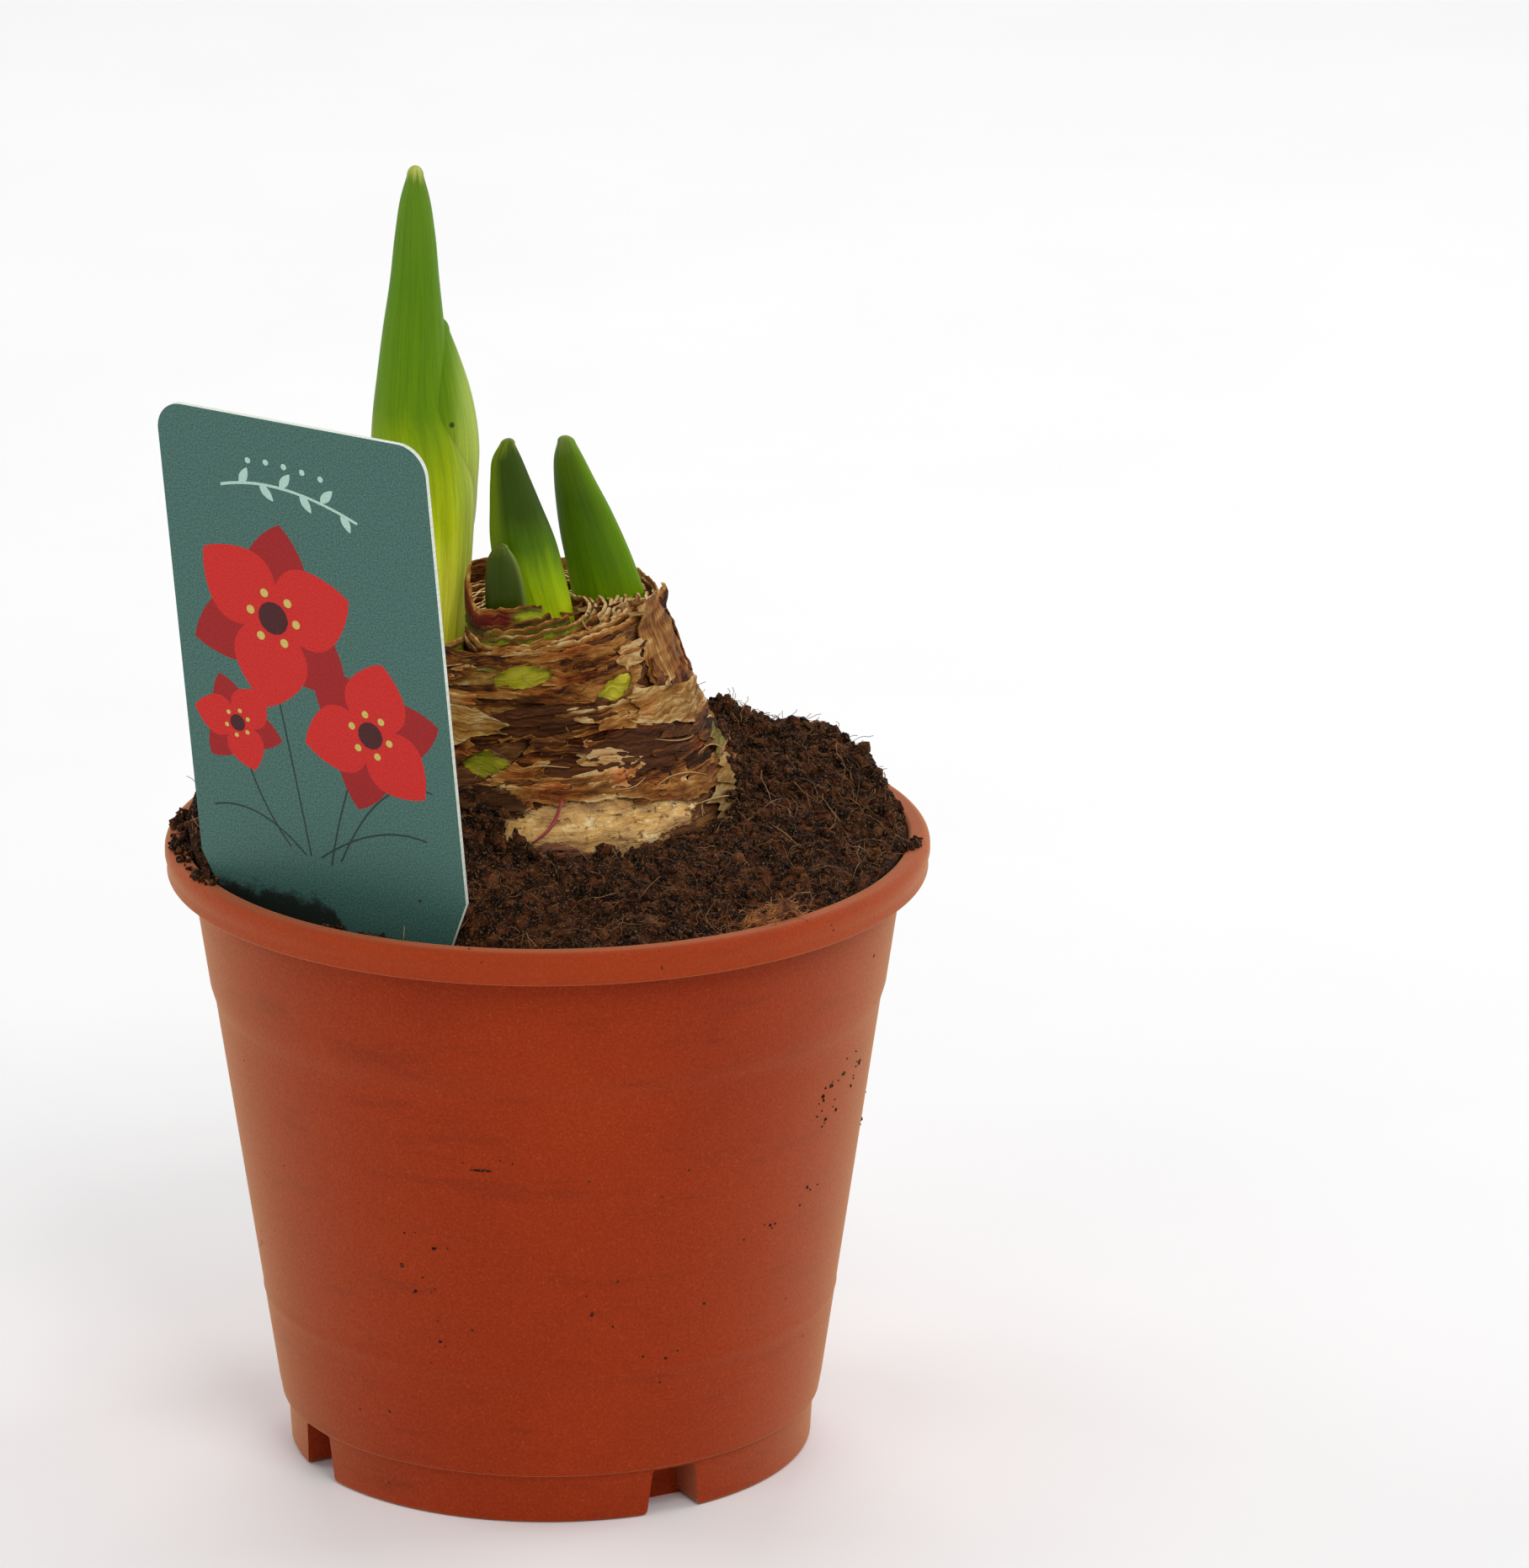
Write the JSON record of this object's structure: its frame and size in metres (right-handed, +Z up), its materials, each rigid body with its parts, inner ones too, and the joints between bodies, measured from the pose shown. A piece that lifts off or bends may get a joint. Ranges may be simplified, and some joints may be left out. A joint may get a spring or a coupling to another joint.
{
  "type": "potted amaryllis bulb",
  "caption": "Potted amaryllis bulb in a round orange-brown nursery pot, with a closed flower shoot, young leaves, dry outer scales and a picture label",
  "frame": {"origin": "middle of the pot's underside, on the surface the pot stands on", "axes": "+Z up along the pot's axis; the front, where the label stands, is at -Y and a little to -X"},
  "size_m": [0.129, 0.129, 0.2232],
  "materials": {
    "pot_plastic": "dull moulded orange-brown plastic with a fine mottled grain",
    "peat": "dark brown crumbly potting peat with pale straw fibres",
    "bulb_flesh": "cream to olive scales, satin, with brown stains",
    "dry_scale": "dry papery brown scale with lengthwise fibres",
    "green_shoot": "smooth yellow-green bract with fine lengthwise veins",
    "green_leaf": "smooth green leaf with fine lengthwise veins",
    "label_plastic": "satin printed card-thick plastic, teal ground"
  },
  "bodies": {
    "root": {"pot": "pot_plastic", "peat": "peat", "bulb": "bulb_flesh", "tunic_front": "dry_scale", "tunic_back": "dry_scale", "tunic_shoulder": "dry_scale", "tunic_flap": "dry_scale", "flower_shoot": "green_shoot", "leaf_middle": "green_leaf", "leaf_right": "green_leaf", "leaf_small": "green_leaf", "plant_label": "label_plastic"}
  },
  "joints": []
}
